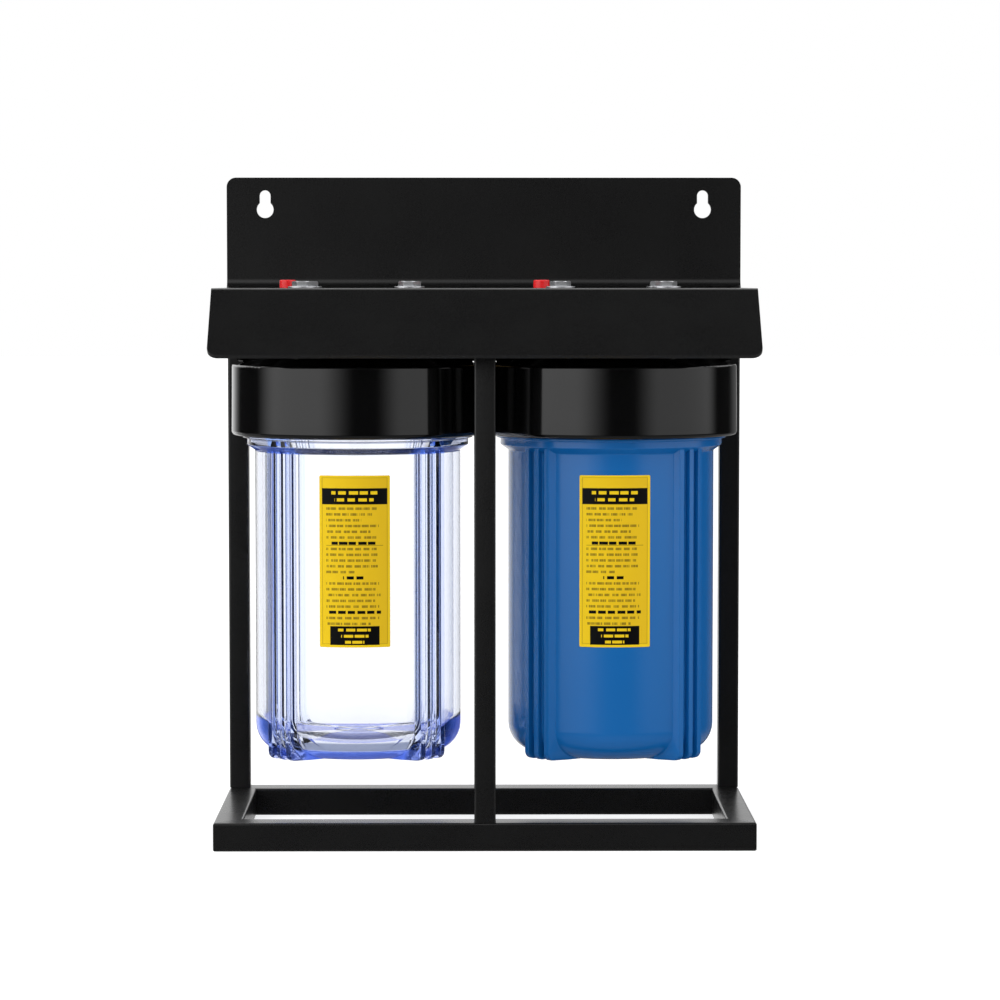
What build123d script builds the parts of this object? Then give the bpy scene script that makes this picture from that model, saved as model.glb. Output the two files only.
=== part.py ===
from build123d import *
from math import cos, pi, radians, sin, sqrt, tan
import os

# Twin ten-inch water filter housing on a free-standing steel frame, in millimetres.
# X is to the right, Y to the rear and Z up. The origin is on the floor, under the
# centre of the whole object's box.

# Heads: the black caps that carry the ports
ring_diameter = 181.0
ring_height = 50.4
ring_wall = 8.5
ring_foot_round = 3.0
ring_top_round = 1.5
ring_draft = 0.4
head_gap = 1.0
ledge_width = 4.5
shoulder_run = 9.5
shoulder_rise = 5.0
shoulder_round = 4.0
crown_radius = 46.0
crown_rise = 4.5
core_margin = 5.0
seal_depth = 37.5
seal_margin = 1.0
ceiling_rise = 4.5
mouth_lead = 1.2
spigot_bore = 12.0
spigot_wall = 7.0
spigot_length = 11.7
screw_boss_radius = 9.0
screw_offset = 37.5
web_thickness = 5.0
web_drop = 12.0

# Ports: one-inch parallel thread, with the tapping drill's wall
port_thread_radius = 15.15
port_wall = 6.35
port_runout = 3.0
passage_step = 2.65
drop_passage_radius = 10.0
drop_passage_offset = 38.0

# Nipple that joins the two heads
nipple_hex_width = 7.0
nipple_shoulder = 3.85
nipple_engagement = 17.0
nipple_wall = 3.55
nipple_clearance = 0.1
nipple_room = 4.5
gasket_thickness = 1.5
gasket_width = 4.85

# Pressure-relief buttons
button_offset = 50.0
button_radius = 5.85
button_stand = 5.8
button_round = 1.0
button_travel = 3.0
button_flange_width = 1.1
button_flange_height = 1.5
relief_boss_radius = 12.0
relief_well_clearance = 0.4
bush_height = 3.0
bush_width = 3.1
stem_radius = 1.8
stem_socket = 4.0
valve_radius = 4.2
valve_height = 1.6
valve_seat_rise = 0.5
valve_seat_wall = 3.0
relief_seal_cord = 0.8
spring_wire = 0.4
spring_turns = 3.5
spring_clearance = 0.8
spring_closed_height = 4.2

# Cartridge in the blue sump
cartridge_radius = 57.0
cartridge_length = 247.9
cartridge_room = 11.8
cartridge_bore = 14.0
cartridge_core_wall = 2.0
cartridge_gasket_height = 3.0
cartridge_gasket_width = 8.0
cap_height = 6.0
cap_skirt = 8.0
cap_wall = 1.6

# Sumps: the screwed-in bowls
sump_wall = 5.0
sump_floor = 8.0
sump_foot_drop = 0.5
sump_bottom_round = 20.0
sump_inner_round = 19.0
collar_inset = 2.2
collar_height = 5.1
collar_slope_height = 4.0
lip_width = 0.9
lip_height = 1.5
neck_wall = 6.7
thread_relief = 0.6
thread_start = 3.0
thread_pitch = 6.0
thread_turns = 3
rib_height = 3.8
rib_round = 5.4
rib_angle = 4.1
rib_gap_angle = 2.95
rib_side_slope = 2.9
rib_groups = 4
ribs_per_group = 3
seat_ridge_inset = 3.0
seat_ridge_width = 2.0
seat_ridge_height = 2.0
oring_cord = 3.2

# Labels on the fronts of the sumps
label_width = 49.3
label_height = 120.6
label_drop = 18.7
label_thickness = 0.25
label_corner = 1.0

# Frame of square steel tube
frame_side_margin = 8.5
frame_front_set = 2.5
wall_room = 1.5
foot_room = 39.6
rail = 20.0
post = 15.0
tube_wall = 1.5
tube_corner = 1.5

# Bracket bent from one sheet
sheet = 3.0
sheet_overhang = 1.0
plate_height = 81.6
shelf_front_margin = 26.0
skirt_length = 65.0
skirt_lean = 45.0
rear_bend = 7.0
front_bend = 2.0
plate_corner = 7.0
skirt_corner = 7.5
keyhole_margin = 28.5
keyhole_drop = 23.7
keyhole_head = 12.5
keyhole_shank = 8.1
keyhole_lift = 10.2
shelf_hole_clearance = 1.0

# Screws that hang the heads from the bracket
screw_radius = 4.0
screw_head_flats = 13.2
screw_head_height = 3.7
screw_head_round = 0.5
screw_reach = 18.0
washer_radius = 10.2
washer_thickness = 1.2

# Clearances and the overrun that every cut shares
running = 0.1
clearance = 0.3
overrun = 5.0

# Widths and depths that follow from the sizes
ring_radius = ring_diameter / 2
ring_bore = ring_radius - ring_wall
head_spacing = ring_diameter + head_gap
housings = {"left": -head_spacing / 2, "right": head_spacing / 2}
sumps = {"clear": housings["left"], "blue": housings["right"]}
frame_width = head_spacing + ring_diameter + 2 * frame_side_margin
bracket_width = frame_width + 2 * sheet_overhang
keyhole_spacing = bracket_width - 2 * keyhole_margin

shelf_reach = wall_room + ring_radius + screw_offset + shelf_front_margin
overall_depth = shelf_reach + skirt_length * sin(radians(skirt_lean))
rear_y = overall_depth / 2
head_y = rear_y - wall_room - ring_radius
front_y = head_y - ring_radius + frame_front_set
frame_depth = rear_y - front_y
shelf_front_y = rear_y - shelf_reach

shoulder_radius = ring_radius - ledge_width
dome_radius = shoulder_radius - shoulder_run
port_boss_radius = port_thread_radius + port_wall
port_thread_length = nipple_engagement + port_runout
port_reach = (head_spacing - nipple_hex_width) / 2 - gasket_thickness
passage_radius = port_thread_radius - passage_step
spigot_radius = spigot_bore + spigot_wall
core_radius = spigot_radius + core_margin
nipple_radius = port_thread_radius - nipple_clearance
nipple_bore = nipple_radius - nipple_wall
nipple_hex_flats = 2 * (port_thread_radius + nipple_shoulder)
gasket_radius = port_thread_radius + gasket_width
flange_radius = button_radius + button_flange_width

bowl_radius = cartridge_radius + cartridge_room
sump_radius = bowl_radius + sump_wall
rib_radius = sump_radius + rib_height
neck_radius = ring_bore - clearance
collar_radius = neck_radius - collar_inset
neck_bore = neck_radius - neck_wall
seal_bore = neck_bore - seal_margin
oring_radius = (neck_radius + neck_bore) / 2
group_angle = ribs_per_group * rib_angle + (ribs_per_group - 1) * rib_gap_angle
cartridge_gasket_radius = cartridge_bore + cartridge_gasket_width
seat_ridge_radius = cartridge_bore + seat_ridge_inset

# Heights that follow from the sizes, from the floor up
foot_z = rail + foot_room
body_z = foot_z + sump_foot_drop
floor_z = body_z + sump_floor
cartridge_z = floor_z + seat_ridge_height
spigot_end = cartridge_z + cartridge_length + clearance
ceiling_z = spigot_end + spigot_length
seal_z = ceiling_z - ceiling_rise
ring_bottom = seal_z - seal_depth
ring_top = ring_bottom + ring_height
dome_z = ring_top + shoulder_rise
crown_z = dome_z + crown_rise

neck_top = seal_z - clearance
thread_top = ring_bottom + thread_start + thread_pitch * thread_turns
lip_top = ring_bottom - clearance
lip_bottom = lip_top - lip_height
collar_bottom = lip_bottom - collar_height
shoulder_z = collar_bottom - collar_slope_height
label_top = collar_bottom - label_drop

port_z = ring_top + nipple_room + nipple_hex_flats / 2
valve_seat_z = port_z + passage_radius + valve_seat_rise
valve_top = valve_seat_z - clearance - 2 * relief_seal_cord
well_floor = valve_seat_z + valve_seat_wall
flange_bottom = well_floor + spring_closed_height + button_travel
flange_top = flange_bottom + button_flange_height
stem_top = flange_bottom + stem_socket
shelf_underside = flange_top + clearance + bush_height
shelf_top = shelf_underside + sheet
plate_top = shelf_top + plate_height


def keep(piece, node):
    """Label a finished piece and write it to its own file."""
    piece.part.label = node
    export_step(piece.part, f"parts/{node}.step")


def outline(points, radii=0):
    """Fill a closed outline whose corners are rounded by the radii given for them."""
    with BuildLine() as border:
        FilletPolyline(*points, radius=radii, close=True)
    make_face(border.edges())


def radial_plane(x):
    """Give the upright plane through a housing's axis: local x is radius, local y is height."""
    return Plane(origin=(x, head_y, 0), x_dir=(1, 0, 0), z_dir=(0, -1, 0))


def level_plane(x, z):
    """Give the level plane at a height, centred on a housing's axis."""
    return Plane(origin=(x, head_y, z))


def upright_axis(x):
    """Give a housing's own axis."""
    return Axis((x, head_y, 0), (0, 0, 1))


def tube_section(size):
    """Draw a square tube's section, centred, with rounded outer corners."""
    RectangleRounded(size, size, tube_corner)
    Rectangle(size - 2 * tube_wall, size - 2 * tube_wall, mode=Mode.SUBTRACT)


def base_rail(along, length, centre):
    """Make one rail of the base: a tube whose ends are mitred at 45 degrees."""
    inward = (-along[1], along[0], 0)
    half = length / 2
    with BuildPart() as tube:
        with BuildSketch(Plane(origin=centre, x_dir=inward, z_dir=along)):
            tube_section(rail)
        extrude(amount=half, both=True)
        with BuildSketch(Plane(origin=centre, x_dir=along, z_dir=(0, 0, 1))):
            mitre = [(-half, -rail / 2), (half, -rail / 2), (half - rail, rail / 2), (rail - half, rail / 2)]
            outline(mitre)
        extrude(amount=rail / 2, both=True, mode=Mode.INTERSECT)
    return tube


def frame_post(x, y, top):
    """Make an upright tube that stands on the base rails."""
    with BuildPart() as tube:
        with BuildSketch(Plane(origin=(x, y, rail))):
            tube_section(post)
        extrude(amount=top - rail)
    return tube


def centre_post():
    """Make the front post, cut to the slope of the skirt that it carries."""
    lean = radians(skirt_lean)
    inner_y = shelf_front_y + sheet * tan((pi / 2 - lean) / 2)
    low_y = front_y - overrun
    low_z = shelf_underside - (inner_y - low_y) / tan(lean)
    with BuildPart() as tube:
        with BuildSketch(Plane(origin=(0, front_y + post / 2, rail))):
            tube_section(post)
        extrude(amount=shelf_underside - rail)
        with BuildSketch(Plane.YZ):
            back = (inner_y + post, shelf_underside)
            under_skirt = [(low_y, 0), (back[0], 0), back, (inner_y, shelf_underside), (low_y, low_z)]
            outline(under_skirt)
        extrude(amount=post, both=True, mode=Mode.INTERSECT)
    return tube


def bracket():
    """Fold the wall plate, shelf and skirt from one sheet, with its holes."""
    lean = radians(skirt_lean)
    plate_y = rear_y - sheet
    tip = (shelf_front_y - skirt_length * sin(lean), shelf_top - skirt_length * cos(lean))
    fold = [(plate_y, plate_top), (plate_y, shelf_top), (shelf_front_y, shelf_top), tip]
    with BuildPart() as folded:
        with BuildSketch(Plane.YZ):
            with BuildLine():
                FilletPolyline(*fold, radius=[rear_bend, front_bend + sheet])
                offset(amount=sheet, side=Side.LEFT)
            make_face()
        extrude(amount=bracket_width / 2, both=True)
        plate_edges = folded.edges().filter_by(Axis.Y).group_by(Axis.Z)[-1]
        fillet(plate_edges, plate_corner)
        skirt_normal = Axis((0, 0, 0), (0, -cos(lean), sin(lean)))
        fillet(folded.edges().filter_by(skirt_normal), skirt_corner)
        keyhole_z = plate_top - keyhole_drop
        with BuildSketch(Plane(origin=(0, rear_y, keyhole_z), x_dir=(1, 0, 0), z_dir=(0, -1, 0))):
            with GridLocations(keyhole_spacing, 0, 2, 1):
                Circle(keyhole_head / 2)
            with Locations((-keyhole_spacing / 2, keyhole_lift), (keyhole_spacing / 2, keyhole_lift)):
                Circle(keyhole_shank / 2)
            with Locations((-keyhole_spacing / 2, keyhole_lift / 2), (keyhole_spacing / 2, keyhole_lift / 2)):
                Rectangle(keyhole_shank, keyhole_lift)
        extrude(amount=sheet + overrun, mode=Mode.SUBTRACT)
        for x in housings.values():
            with BuildSketch(level_plane(x, shelf_underside - overrun)):
                with GridLocations(2 * screw_offset, 2 * screw_offset, 2, 2):
                    Circle(screw_radius + shelf_hole_clearance / 2)
                with Locations((-button_offset, 0)):
                    Circle(button_radius + shelf_hole_clearance)
            extrude(amount=sheet + 2 * overrun, mode=Mode.SUBTRACT)
    return folded


def head(x):
    """Mould one head: threaded ring, dome, ports, screw bosses and relief well."""
    ring = [
        (0, ring_bottom),
        (ring_radius, ring_bottom),
        (ring_radius - ring_draft, ring_top),
        (shoulder_radius, ring_top),
        (dome_radius, dome_z),
        (crown_radius, crown_z),
        (0, crown_z),
    ]
    ring_radii = [0, ring_foot_round, ring_top_round, 0, shoulder_round, shoulder_round, 0]
    cavity = [
        (0, ring_bottom - overrun),
        (ring_bore + mouth_lead, ring_bottom - overrun),
        (ring_bore + mouth_lead, ring_bottom),
        (ring_bore, ring_bottom + mouth_lead),
        (ring_bore, seal_z),
        (seal_bore, seal_z),
        (seal_bore, ceiling_z),
        (0, ceiling_z),
    ]
    port_plane = Plane(origin=(x, head_y, port_z), x_dir=(0, 1, 0), z_dir=(1, 0, 0))
    with BuildPart() as moulding:
        with BuildSketch(radial_plane(x)):
            outline(ring, ring_radii)
        revolve(axis=upright_axis(x))
        with BuildSketch(port_plane):
            Circle(port_boss_radius)
        extrude(amount=port_reach, both=True)
        with BuildSketch(level_plane(x, shelf_underside)):
            Circle(core_radius)
            with GridLocations(2 * screw_offset, 2 * screw_offset, 2, 2):
                Circle(screw_boss_radius)
            with Locations((-button_offset, 0)):
                Circle(relief_boss_radius)
        extrude(amount=ceiling_z - shelf_underside)
        with BuildSketch(level_plane(x, shelf_underside - web_drop)):
            for web_turn in (45, -45):
                Rectangle(2 * screw_offset * sqrt(2), web_thickness, rotation=web_turn)
        extrude(amount=ceiling_z - shelf_underside + web_drop)
        with BuildSketch(radial_plane(x)):
            outline(cavity)
        revolve(axis=upright_axis(x), mode=Mode.SUBTRACT)
        with BuildSketch(level_plane(x, ceiling_z)):
            Circle(spigot_radius)
        extrude(amount=-spigot_length)
        head_passages(x)
        relief_well(x)
        with BuildSketch(level_plane(x, shelf_underside)):
            with GridLocations(2 * screw_offset, 2 * screw_offset, 2, 2):
                Circle(screw_radius + running)
        extrude(amount=-screw_reach - clearance, mode=Mode.SUBTRACT)
    return moulding


def bore(plane, radius, depth):
    """Cut a round hole into the piece at hand, from a plane against its normal."""
    with BuildSketch(plane) as mouth:
        Circle(radius)
    extrude(mouth.sketch, amount=-depth, mode=Mode.SUBTRACT)


def head_passages(x):
    """Cut both threaded ports, the raw-water drop passage and the clean-water bore."""
    for side in (-1, 1):
        mouth = Plane(origin=(x + side * port_reach, head_y, port_z), x_dir=(0, 1, 0), z_dir=(side, 0, 0))
        bore(mouth, port_thread_radius, port_thread_length)
        bore(mouth, passage_radius, port_reach - drop_passage_offset if side < 0 else port_reach)
    bore(level_plane(x - drop_passage_offset, port_z), drop_passage_radius, port_z - ceiling_z + overrun)
    bore(level_plane(x, port_z), spigot_bore, port_z - spigot_end + overrun)


def relief_well(x):
    """Cut the relief valve's stepped well, and its flat seat over the raw-water passage."""
    top = level_plane(x - button_offset, shelf_underside)
    bore(top, button_radius + bush_width, bush_height)
    bore(top, flange_radius + relief_well_clearance, shelf_underside - well_floor)
    bore(top, stem_radius + running, shelf_underside - port_z)
    bore(level_plane(x - button_offset, valve_seat_z), valve_radius + clearance, passage_radius)


def relief_bush(x):
    """Make the ring that keeps the button in its well."""
    with BuildPart() as bush:
        with BuildSketch(level_plane(x - button_offset, shelf_underside)):
            Circle(button_radius + bush_width)
            Circle(button_radius + running, mode=Mode.SUBTRACT)
        extrude(amount=-bush_height)
    return bush


def relief_button(x):
    """Make the red button, with the flange under its bush and the stem's socket."""
    button_top = shelf_top + button_stand
    section = [
        (stem_radius, flange_bottom),
        (flange_radius, flange_bottom),
        (flange_radius, flange_top),
        (button_radius, flange_top),
        (button_radius, button_top),
        (0, button_top),
        (0, stem_top),
        (stem_radius, stem_top),
    ]
    with BuildPart() as button:
        with BuildSketch(radial_plane(x - button_offset)):
            outline(section, [0, 0, 0, 0, button_round, 0, 0, 0])
        revolve(axis=upright_axis(x - button_offset))
    return button


def relief_stem(x):
    """Make the stem that hangs the valve disc in the raw-water passage."""
    section = [
        (0, valve_top - valve_height),
        (valve_radius, valve_top - valve_height),
        (valve_radius, valve_top),
        (stem_radius, valve_top),
        (stem_radius, stem_top),
        (0, stem_top),
    ]
    with BuildPart() as stem:
        with BuildSketch(radial_plane(x - button_offset)):
            outline(section)
        revolve(axis=upright_axis(x - button_offset))
    return stem


def relief_seal(x):
    """Make the small sealing ring that sits on the valve disc."""
    with BuildPart() as seal:
        with BuildSketch(radial_plane(x - button_offset)):
            with Locations((stem_radius + relief_seal_cord, valve_top + relief_seal_cord)):
                Circle(relief_seal_cord)
        revolve(axis=upright_axis(x - button_offset))
    return seal


def relief_spring(x):
    """Wind the button's return spring between the well's floor and the flange."""
    low = well_floor + spring_wire
    height = flange_bottom - spring_wire - low
    coil_radius = stem_radius + spring_clearance + spring_wire
    centre = (x - button_offset, head_y, low)
    with BuildPart() as spring:
        with BuildLine():
            coil = Helix(pitch=height / spring_turns, height=height, radius=coil_radius, center=centre)
        with BuildSketch(Plane(origin=coil @ 0, z_dir=coil % 0)):
            Circle(spring_wire)
        sweep(path=coil, is_frenet=True)
    return spring


def head_screws(x):
    """Make the four hexagon screws that clamp one head to the shelf."""
    seat = shelf_top + washer_thickness
    with BuildPart() as screws:
        with BuildSketch(level_plane(x, seat)):
            with GridLocations(2 * screw_offset, 2 * screw_offset, 2, 2):
                RegularPolygon(screw_head_flats / 2, 6, major_radius=False)
        extrude(amount=screw_head_height)
        chamfer(screws.edges().group_by(Axis.Z)[-1], screw_head_round)
        with BuildSketch(level_plane(x, seat)):
            with GridLocations(2 * screw_offset, 2 * screw_offset, 2, 2):
                Circle(screw_radius)
        extrude(amount=shelf_underside - screw_reach - seat)
    return screws


def head_washers(x):
    """Make the four flat washers under one head's screws."""
    with BuildPart() as washers:
        with BuildSketch(level_plane(x, shelf_top)):
            with GridLocations(2 * screw_offset, 2 * screw_offset, 2, 2):
                Circle(washer_radius)
                Circle(screw_radius + running, mode=Mode.SUBTRACT)
        extrude(amount=washer_thickness)
    return washers


def joining_nipple():
    """Make the hollow nipple with a hexagon between the two inner ports."""
    reach = nipple_hex_width / 2 + gasket_thickness + nipple_engagement
    with BuildPart() as nipple:
        with BuildSketch(Plane(origin=(0, head_y, port_z), x_dir=(0, 1, 0), z_dir=(1, 0, 0))):
            Circle(nipple_radius)
        extrude(amount=reach, both=True)
        with BuildSketch(Plane(origin=(0, head_y, port_z), x_dir=(0, 1, 0), z_dir=(1, 0, 0))):
            RegularPolygon(nipple_hex_flats / 2, 6, major_radius=False)
        extrude(amount=nipple_hex_width / 2, both=True)
        with BuildSketch(Plane(origin=(0, head_y, port_z), x_dir=(0, 1, 0), z_dir=(1, 0, 0))):
            Circle(nipple_bore)
        extrude(amount=reach + overrun, both=True, mode=Mode.SUBTRACT)
    return nipple


def nipple_gaskets():
    """Make the two flat gaskets between the nipple's hexagon and the ports."""
    with BuildPart() as gaskets:
        for side in (-1, 1):
            face = side * nipple_hex_width / 2
            with BuildSketch(Plane(origin=(face, head_y, port_z), x_dir=(0, 1, 0), z_dir=(side, 0, 0))):
                Circle(gasket_radius)
                Circle(port_thread_radius, mode=Mode.SUBTRACT)
            extrude(amount=gasket_thickness)
    return gaskets


def rib_group(x, turn):
    """Add one corner's ribs to a sump: a raised block with sloped sides and deep grooves."""
    group = Plane(origin=(x, head_y, foot_z), x_dir=(cos(turn), sin(turn), 0), z_dir=(0, 0, 1))
    half = radians(group_angle / 2)
    outer = (rib_radius * cos(half), rib_radius * sin(half))
    inner_half = half + rib_side_slope / sump_radius
    inner = (sump_radius * cos(inner_half), sump_radius * sin(inner_half))
    root = sump_radius - sump_bottom_round
    root_point = (root * cos(inner_half), root * sin(inner_half))
    rim = (rib_radius + overrun, outer[1])
    block = [root_point, inner, outer, rim, (rim[0], -rim[1]), (outer[0], -outer[1]),
             (inner[0], -inner[1]), (root_point[0], -root_point[1])]
    with BuildSketch(group) as section:
        outline(block)
        for step in range(ribs_per_group - 1):
            groove_turn = (step - (ribs_per_group - 2) / 2) * (rib_angle + rib_gap_angle)
            groove_width = rib_radius * radians(rib_gap_angle)
            groove_depth = rib_height + 2 * overrun
            middle = sump_radius + groove_depth / 2
            angle = radians(groove_turn)
            with Locations((middle * cos(angle), middle * sin(angle))):
                Rectangle(groove_depth, groove_width, rotation=groove_turn, mode=Mode.SUBTRACT)
    extrude(section.sketch, amount=collar_bottom - foot_z)


def sump(x):
    """Mould one sump: ribbed body, collar, lip, threaded neck and its cavity."""
    body = [
        (0, body_z),
        (sump_radius, body_z),
        (sump_radius, shoulder_z),
        (collar_radius, collar_bottom),
        (collar_radius, lip_bottom),
        (neck_radius + lip_width, lip_bottom),
        (neck_radius + lip_width, lip_top),
        (neck_radius, lip_top),
        (neck_radius, thread_top),
        (neck_radius - thread_relief, thread_top),
        (neck_radius - thread_relief, neck_top),
        (0, neck_top),
    ]
    body_radii = [0, sump_bottom_round] + [0] * (len(body) - 2)
    limit = [
        (0, foot_z),
        (rib_radius, foot_z),
        (rib_radius, foot_z + rib_round),
        (ring_radius, foot_z + rib_round),
        (ring_radius, neck_top + overrun),
        (0, neck_top + overrun),
    ]
    bowl = [
        (0, floor_z),
        (bowl_radius, floor_z),
        (bowl_radius, shoulder_z),
        (neck_bore, lip_top),
        (neck_bore, neck_top + overrun),
        (0, neck_top + overrun),
    ]
    with BuildPart() as moulding:
        with BuildSketch(radial_plane(x)):
            outline(body, body_radii)
        revolve(axis=upright_axis(x))
        for step in range(rib_groups):
            rib_group(x, (step + 0.5) * 2 * pi / rib_groups)
        with BuildSketch(radial_plane(x)):
            outline(limit, [0, rib_round - running, 0, 0, 0, 0])
        revolve(axis=upright_axis(x), mode=Mode.INTERSECT)
        with BuildSketch(radial_plane(x)):
            outline(bowl, [0, sump_inner_round, 0, 0, 0, 0])
        revolve(axis=upright_axis(x), mode=Mode.SUBTRACT)
        with BuildSketch(radial_plane(x)):
            with Locations((oring_radius, neck_top - oring_cord / 2)):
                Rectangle(oring_cord + 2 * clearance, oring_cord + 2 * clearance)
        revolve(axis=upright_axis(x), mode=Mode.SUBTRACT)
        with BuildSketch(radial_plane(x)):
            with Locations((seat_ridge_radius, floor_z + seat_ridge_height / 2)):
                Rectangle(seat_ridge_width, seat_ridge_height)
        revolve(axis=upright_axis(x))
    return moulding


def sump_oring(x):
    """Make the sealing ring in the groove of a sump's rim."""
    with BuildPart() as ring:
        with BuildSketch(radial_plane(x)):
            with Locations((oring_radius, neck_top - oring_cord / 2)):
                Circle(oring_cord / 2)
        revolve(axis=upright_axis(x))
    return ring


def sump_label(x):
    """Make the thin label that wraps the front of a sump."""
    inner = sump_radius + running / 2
    with BuildPart() as label:
        with BuildSketch(level_plane(x, label_top - label_height)):
            Circle(inner + label_thickness)
            Circle(inner, mode=Mode.SUBTRACT)
        extrude(amount=label_height)
        face = Plane(origin=(x, head_y, label_top - label_height / 2), x_dir=(1, 0, 0), z_dir=(0, -1, 0))
        with BuildSketch(face):
            RectangleRounded(label_width, label_height, label_corner)
        extrude(amount=sump_radius + overrun, mode=Mode.INTERSECT)
    return label


def cartridge(x):
    """Make the cartridge's pieces: media, core, end caps and their gaskets."""
    cap_low = cartridge_z + cartridge_gasket_height
    cap_high = cartridge_z + cartridge_length - cartridge_gasket_height
    media_low = cap_low + cap_height
    media_high = cap_high - cap_height
    core_radius_outer = cartridge_bore + cartridge_core_wall
    with BuildPart() as media:
        with BuildSketch(level_plane(x, media_low)):
            Circle(cartridge_radius - cap_wall - clearance)
            Circle(core_radius_outer + clearance, mode=Mode.SUBTRACT)
        extrude(amount=media_high - media_low)
    with BuildPart() as core:
        with BuildSketch(level_plane(x, media_low)):
            Circle(core_radius_outer)
            Circle(cartridge_bore, mode=Mode.SUBTRACT)
        extrude(amount=media_high - media_low)
    pieces = {"cartridge_media": media, "cartridge_core": core}
    ends = {"lower": (cap_low, 1), "upper": (cap_high, -1)}
    for end, (base, way) in ends.items():
        with BuildPart() as cap:
            with BuildSketch(level_plane(x, base)):
                Circle(cartridge_radius)
                Circle(cartridge_bore, mode=Mode.SUBTRACT)
            extrude(amount=way * cap_height)
            with BuildSketch(level_plane(x, base + way * cap_height)):
                Circle(cartridge_radius)
                Circle(cartridge_radius - cap_wall, mode=Mode.SUBTRACT)
            extrude(amount=way * cap_skirt)
        with BuildPart() as gasket:
            with BuildSketch(level_plane(x, base)):
                Circle(cartridge_gasket_radius)
                Circle(cartridge_bore, mode=Mode.SUBTRACT)
            extrude(amount=-way * cartridge_gasket_height)
        pieces[f"cartridge_{end}_cap"] = cap
        pieces[f"cartridge_{end}_gasket"] = gasket
    return pieces


os.makedirs("parts", exist_ok=True)

keep(base_rail((1, 0, 0), frame_width, (0, front_y + rail / 2, rail / 2)), "base_front_rail")
keep(base_rail((-1, 0, 0), frame_width, (0, rear_y - rail / 2, rail / 2)), "base_rear_rail")
side_y = rear_y - frame_depth / 2
side_x = (frame_width - rail) / 2
keep(base_rail((0, -1, 0), frame_depth, (-side_x, side_y, rail / 2)), "base_left_rail")
keep(base_rail((0, 1, 0), frame_depth, (side_x, side_y, rail / 2)), "base_right_rail")
post_x = (frame_width - post) / 2
keep(frame_post(-post_x, rear_y - post / 2, shelf_underside), "rear_left_post")
keep(frame_post(post_x, rear_y - post / 2, shelf_underside), "rear_right_post")
keep(centre_post(), "centre_post")
keep(bracket(), "bracket")
keep(joining_nipple(), "joining_nipple")
keep(nipple_gaskets(), "nipple_gaskets")

for side, axis_x in housings.items():
    keep(head(axis_x), f"{side}_head")
    keep(head_screws(axis_x), f"{side}_head_screws")
    keep(head_washers(axis_x), f"{side}_head_washers")
    keep(relief_bush(axis_x), f"{side}_relief_bush")
    keep(relief_button(axis_x), f"{side}_relief_button")
    keep(relief_stem(axis_x), f"{side}_relief_stem")
    keep(relief_seal(axis_x), f"{side}_relief_seal")
    keep(relief_spring(axis_x), f"{side}_relief_spring")

for colour, axis_x in sumps.items():
    keep(sump(axis_x), f"{colour}_sump")
    keep(sump_oring(axis_x), f"{colour}_sump_oring")
    keep(sump_label(axis_x), f"{colour}_sump_label")

for node, piece in cartridge(sumps["blue"]).items():
    keep(piece, node)

# Travel of the screwed joint and of the buttons, and the places that mates use
print("sump drop", thread_pitch * thread_turns, "over", thread_turns, "turns; button travel", button_travel)
print("head axes", housings, "at y", head_y, "ports at z", port_z, "reach", port_reach)
print("rear", rear_y, "front rail", front_y, "plate top", plate_top, "keyholes", plate_top - keyhole_drop)
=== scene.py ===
import logging
from collections.abc import Callable
from dataclasses import dataclass
from enum import Enum

import bmesh
import bpy
import numpy as np
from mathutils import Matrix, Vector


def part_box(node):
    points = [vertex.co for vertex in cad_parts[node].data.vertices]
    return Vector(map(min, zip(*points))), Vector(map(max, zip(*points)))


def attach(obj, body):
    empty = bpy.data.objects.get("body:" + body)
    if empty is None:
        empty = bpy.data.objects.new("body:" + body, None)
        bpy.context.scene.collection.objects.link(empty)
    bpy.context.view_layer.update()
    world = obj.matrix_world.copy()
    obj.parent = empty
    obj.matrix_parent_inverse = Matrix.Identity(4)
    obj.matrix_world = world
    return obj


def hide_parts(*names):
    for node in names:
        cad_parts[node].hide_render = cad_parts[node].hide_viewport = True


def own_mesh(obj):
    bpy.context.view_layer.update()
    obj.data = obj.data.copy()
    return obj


# Dresses the twin filter housing. Lengths are metres, written in millimetres times MM.
MM = 0.001
FULL_TURN = 2 * np.pi
WELD_STEP = 1e-7
SMALL_ROUND = 0.8 * MM
CREASE = np.radians(32)

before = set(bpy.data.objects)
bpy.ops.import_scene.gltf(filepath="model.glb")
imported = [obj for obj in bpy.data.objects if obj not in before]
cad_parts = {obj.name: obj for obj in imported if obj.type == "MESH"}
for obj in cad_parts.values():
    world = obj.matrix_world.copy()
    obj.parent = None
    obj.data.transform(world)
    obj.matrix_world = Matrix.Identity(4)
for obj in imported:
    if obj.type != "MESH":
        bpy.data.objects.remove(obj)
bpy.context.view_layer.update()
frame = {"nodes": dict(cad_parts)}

log = logging.getLogger("housing")
Node = bpy.types.Node
Socket = bpy.types.NodeSocket
Object = bpy.types.Object
Array = np.ndarray
Colour = tuple[float, float, float]
Span = tuple[float, float]
Numbers = tuple[float, ...]
WHITE = (1.0, 1.0, 1.0)


def axis_of(node: str) -> Span:
    """Give the place of a round node's upright axis, which is the middle of its box."""
    low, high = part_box(node)
    return (low[0] + high[0]) / 2, (low[1] + high[1]) / 2


class Body(Enum):
    """The bodies that pieces ride on."""

    ROOT = "root"
    CLEAR_SUMP = "clear_sump"
    BLUE_SUMP = "blue_sump"


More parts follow.
